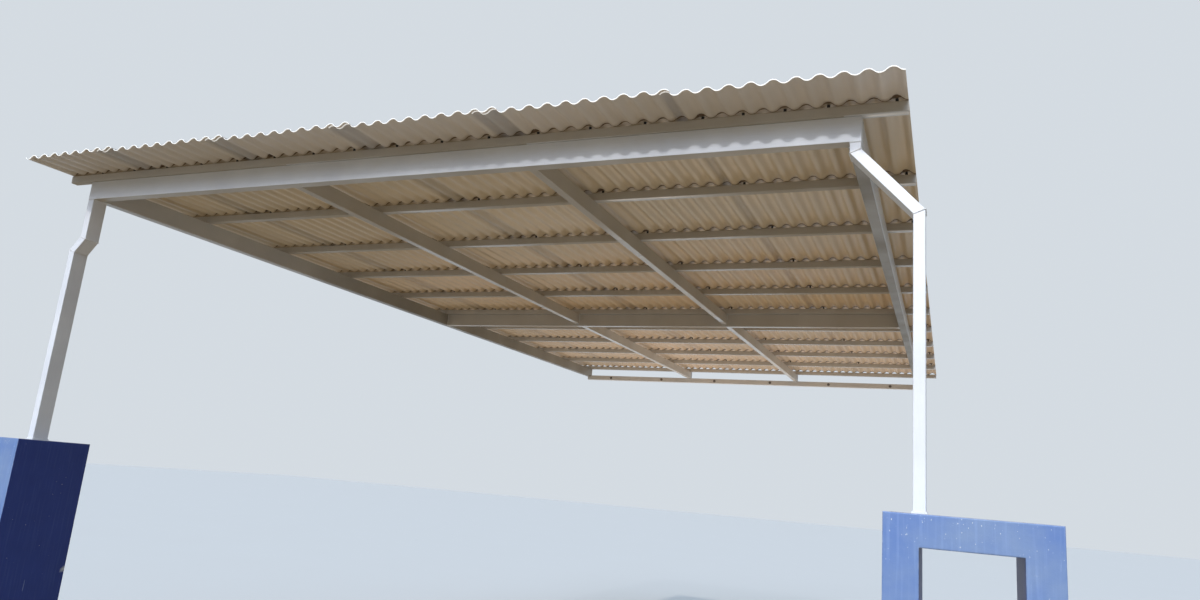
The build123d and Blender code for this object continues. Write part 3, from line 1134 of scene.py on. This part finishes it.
def pier_faces(bm, low, high, gap_low, gap_high):
    """Fine quads all over a pier's faces and the sides of its window."""
    xs = stations(low.x, high.x, (gap_low.x, gap_high.x))
    ys = stations(low.y, high.y)
    zs = stations(low.z, high.z, (gap_low.z, gap_high.z))
    last_x, last_y, last_z = len(xs) - 1, len(ys) - 1, len(zs) - 1
    made = {}

    def solid(i, k):
        if not (0 <= i < last_x and 0 <= k < last_z):
            return False
        x = (xs[i] + xs[i + 1]) / 2
        z = (zs[k] + zs[k + 1]) / 2
        return not (gap_low.x < x < gap_high.x and gap_low.z < z < gap_high.z)

    def quad(*corners):
        for i, j, k in corners:
            if (i, j, k) not in made:
                made[i, j, k] = bm.verts.new((xs[i], ys[j], zs[k]))
        bm.faces.new([made[corner] for corner in corners])

    for i in range(last_x):
        for k in range(last_z):
            if not solid(i, k):
                continue
            for j in (0, last_y):
                quad((i, j, k), (i + 1, j, k), (i + 1, j, k + 1), (i, j, k + 1))
            for at, beside in ((i, i - 1), (i + 1, i + 1)):
                for j in range(0 if solid(beside, k) else last_y):
                    quad((at, j, k), (at, j + 1, k), (at, j + 1, k + 1), (at, j, k + 1))
            for at, beside in ((k, k - 1), (k + 1, k + 1)):
                for j in range(0 if solid(i, beside) else last_y):
                    quad((i, j, at), (i + 1, j, at), (i + 1, j + 1, at), (i, j + 1, at))


def inside_by(point, low, high, gap_low, gap_high):
    """How far inside the two nearest faces a point lies, counting the window's sides."""
    depths = [point.x - low.x, high.x - point.x, high.z - point.z]
    depths.append(min(point.y - low.y, high.y - point.y))
    beside = [gap_low.x - point.x, point.x - gap_high.x, gap_low.z - point.z, point.z - gap_high.z]
    depths.append(max(beside))
    return sorted(depths)[:2]


def weather(vert, near, arris, chip):
    """How a point of the plaster moves: uneven all over, round at the arrises and chipped there."""
    point = vert.co.copy()
    swell, grain = noise.noise(point * PLASTER_SWELLS), noise.noise(point * PLASTER_GRAIN)
    push = 0.5 + 0.5 * swell + 0.25 * (1 + grain)
    move = -vert.normal * PLASTER_UNEVEN * push * 0.6
    if near[1] < PIER_ARRIS:
        length = hypot(*[PIER_ARRIS - depth for depth in near])
        move = -vert.normal * max(0.0, length - PIER_ARRIS) + move * 0.5
    knock = noise.noise(point * CHIP_GRAIN + CHIP_PLACE)
    if near[1] < arris_reach + 0.1 * MM:
        vert[arris] = max(0.0, min(1.0, 0.3 + knock)) if near[1] < PIER_ARRIS else 0.0
        if knock > CHIP_LIMIT:
            vert[chip] = min(1.0, (knock - CHIP_LIMIT) * CHIP_PALING)
            move -= vert.normal * CHIP_DEPTH * min(1.0, (knock - CHIP_LIMIT) * CHIP_SLOPE)
    return move


def pier(side_name, material):
    """A rendered pier with its window opening, round arrises, uneven faces and chips."""
    name = side_name + "_pier"
    low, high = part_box(name)
    gap_low, gap_high = pier_window(low, high)
    bm = bmesh.new()
    arris = bm.verts.layers.float.new("arris")
    chip = bm.verts.layers.float.new("chip")
    pier_faces(bm, low, high, gap_low, gap_high)
    bmesh.ops.recalc_face_normals(bm, faces=bm.faces)
    bm.normal_update()
    for vert in bm.verts:
        near = inside_by(vert.co, low, high, gap_low, gap_high)
        move = weather(vert, near, arris, chip)
        if vert.co.z < low.z + 0.01 * MM:
            move.z = 0
        vert.co = vert.co + move
    piece(name + "_render", bm, material, (name,), smooth_angle=60)


# Building it all
enamel = {axis: painted_steel(axis, "open") for axis in "xz"}
cross_steel = painted_steel("x", "cross")
CARRIED_OVER = (
    (enamel["x"], ["wall_plate"]),
    (enamel["z"], ["left_post", "right_post", "left_foot_plate", "right_foot_plate"]),
    (painted_steel("x", "street"), ["front_beam"]),
    (cross_steel, ["mid_beam"]),
    (painted_steel("y", "inner"), FRONT_RAFTERS + REAR_RAFTERS),
    (painted_steel("y", "outer"), SIDE_RAFTERS),
)
for material, names in CARRIED_OVER:
    for node_name in names:
        nodes[node_name].data.materials[0] = material

plastic = opal_plastic()
sawn = glowing_cut_edge()
sheets = [WaveSheet(number) for number in SHEET_NUMBERS]
for sheet in sheets:
    wave_sheet(sheet, plastic)
    sheet_rim(sheet, sawn)

metal = screw_steel()
rubber = washer_rubber()
dust = settled_dust_and_shade()
for purlin_number in PURLIN_NUMBERS:
    purlin_tube(purlin_number, cross_steel)
    dust_and_shade_line(purlin_number, sheets, dust)
    purlin_screws(purlin_number, metal, rubber)

wall_paint = blue_render()
for side in ("left", "right"):
    pier(side, wall_paint)

welds = weld_paint()
crossing_welds(welds)
post_welds(welds)
rafter_welds(welds)
end_caps(enamel["z"])
wall_bolts(metal)

# Floor and world
FLOOR_HALF = 60.0
STUDIO_PALE = rgb(0.66, 0.71, 0.76)
FLOOR_PALE = rgb(0.585, 0.565, 0.54)
FLOOR_CLOUD = rgb(0.56, 0.53, 0.50)
FLOOR_BOUNCE = rgb(0.31, 0.245, 0.168)
SKY_BLUE = rgb(0.64, 0.81, 1.0)
SKY_TOP = 1.0
SKY_FOOT = 0.03
SKY_LOW = 0.12
SKY_HIGH = 0.6


def seen_directly(s):
    """1 for camera, glossy and transmission rays."""
    kinds = ("Is Camera Ray", "Is Glossy Ray", "Is Transmission Ray")
    camera_ray, glossy_ray, through_ray = [s.add("LightPath", kind) for kind in kinds]
    return s.larger(s.larger(camera_ray, glossy_ray), through_ray)


def floor():
    """Plain and pale, with a warm bounce."""
    s = Shader("floor_pale")
    cloud = s.noise(0.7)
    pale = s.mix(s.spread(cloud, 0.3, 0.7, 0.0, 0.12), FLOOR_PALE, FLOOR_CLOUD)
    colour = s.mix(seen_directly(s), FLOOR_BOUNCE, pale)
    material = s.coat(Base_Color=colour, Roughness=0.9, Specular_IOR_Level=0.1)
    bm = bmesh.new()
    corners = [(x * FLOOR_HALF, y * FLOOR_HALF) for x, y in ((-1, -1), (1, -1), (1, 1), (-1, 1))]
    bm.faces.new([bm.verts.new((x, y, ground)) for x, y in corners])
    obj = mesh_object("floor", bm, material)


def world():
    """Pale to the camera. Otherwise a soft sky that darkens to the horizon."""
    s = Shader("studio", is_world=True)
    height = s.part(s.add("TexCoord", "Generated"), "Z")
    strength = s.spread(height, SKY_LOW, SKY_HIGH, SKY_FOOT, SKY_TOP)
    light = s.add("Background", 0, {"Color": SKY_BLUE, "Strength": strength})
    pale = s.add("Background", 0, {"Color": STUDIO_PALE})
    sky = s.blend(seen_directly(s), light, pale)
    bpy.context.scene.world = s.finish(sky, output="OutputWorld")


# Suns on the street side: strength, softness, elevation and turn to the left in degrees, colour
SUNS = (
    ("key", 1.15, 1.5, 38, 5, (1.0, 0.95, 0.88)),
    ("low", 0.25, 1.5, 27, -6, (0.95, 0.97, 1.0)),
    ("glow", 1.95, 40, 33, 0, (0.68, 0.79, 1.0)),
)
LOW_SPOT_AIM = Vector((1.35, -6.7, -0.05))
LOW_SPOT_TOWARDS = Vector((-0.093, 0.886, -0.454))
LOW_SPOT_DISTANCE = 14
LOW_SPOT_SHAPE = dict(spot_size=radians(15), spot_blend=1.0, shadow_soft_size=0.18)
LOW_SPOT = ("low_spot", "SPOT", 1900, (0.95, 0.97, 1.0), LOW_SPOT_TOWARDS)
WALL_GLOW_PLACE = Vector((0, -0.5, -2.7))
WALL_GLOW_SHAPE = dict(shape="RECTANGLE", size=3.6, size_y=1.8)
WALL_GLOW = ("wall_glow", "AREA", 46, (1.0, 0.86, 0.72), Vector((0, 0, 1)))


def lamp(name, kind, power, colour, towards, place=None, **settings):
    """A lamp that shines towards a direction. One that has a place is near, and stays unseen."""
    data = bpy.data.lights.new(name, kind)
    data.energy = power
    data.color = colour
    for key, value in settings.items():
        setattr(data, key, value)
    obj = placed(name, data)
    obj.rotation_euler = towards.to_track_quat("-Z", "Y").to_euler()
    if place is not None:
        obj.location = place
        obj.visible_camera = False


def sun(name, strength, softness, elevation, turn, colour):
    level, sideways = cos(radians(elevation)), radians(turn)
    towards = Vector((level * sin(sideways), level * cos(sideways), -sin(radians(elevation))))
    lamp(name, "SUN", strength, colour, towards, angle=radians(softness))


def low_spot():
    """A low lamp on the beam's right part, which draws the sheets' waves along its lower edge."""
    place = LOW_SPOT_AIM - LOW_SPOT_TOWARDS * LOW_SPOT_DISTANCE
    lamp(*LOW_SPOT, place, **LOW_SPOT_SHAPE)


def wall_glow():
    """A warm light thrown up under the rear half of the roof."""
    lamp(*WALL_GLOW, WALL_GLOW_PLACE, **WALL_GLOW_SHAPE)


CAMERA_PLACE = Vector((2.1033, -9.5056, -1.2802))
CAMERA_YAW = 22.962
CAMERA_PITCH = 12.365
CAMERA_ROLL = 4.753
CAMERA_LENS = 25.315
CAMERA_SENSOR = 36.0
CAMERA_REACH = 200


def camera():
    """The photograph's view, as it was fitted to its straight edges."""
    yaw, pitch, roll = radians(CAMERA_YAW), radians(CAMERA_PITCH), radians(CAMERA_ROLL)
    level = Vector((-sin(yaw), cos(yaw), 0))
    ahead = level * cos(pitch) + Vector((0, 0, sin(pitch)))
    right = Vector((cos(yaw), sin(yaw), 0))
    up = Vector((0, 0, cos(pitch))) - level * sin(pitch)
    x_axis = right * cos(roll) + up * sin(roll)
    y_axis = up * cos(roll) - right * sin(roll)
    data = bpy.data.cameras.new("camera")
    data.lens = CAMERA_LENS
    data.sensor_width = CAMERA_SENSOR
    data.clip_end = CAMERA_REACH
    obj = placed("camera", data)
    turn = Matrix((x_axis, y_axis, -ahead)).transposed()
    obj.matrix_world = Matrix.Translation(CAMERA_PLACE) @ turn.to_4x4()
    bpy.context.scene.camera = obj


floor()
world()
for settings in SUNS:
    sun(*settings)
low_spot()
wall_glow()
camera()
bpy.context.scene.view_settings.view_transform = "Standard"
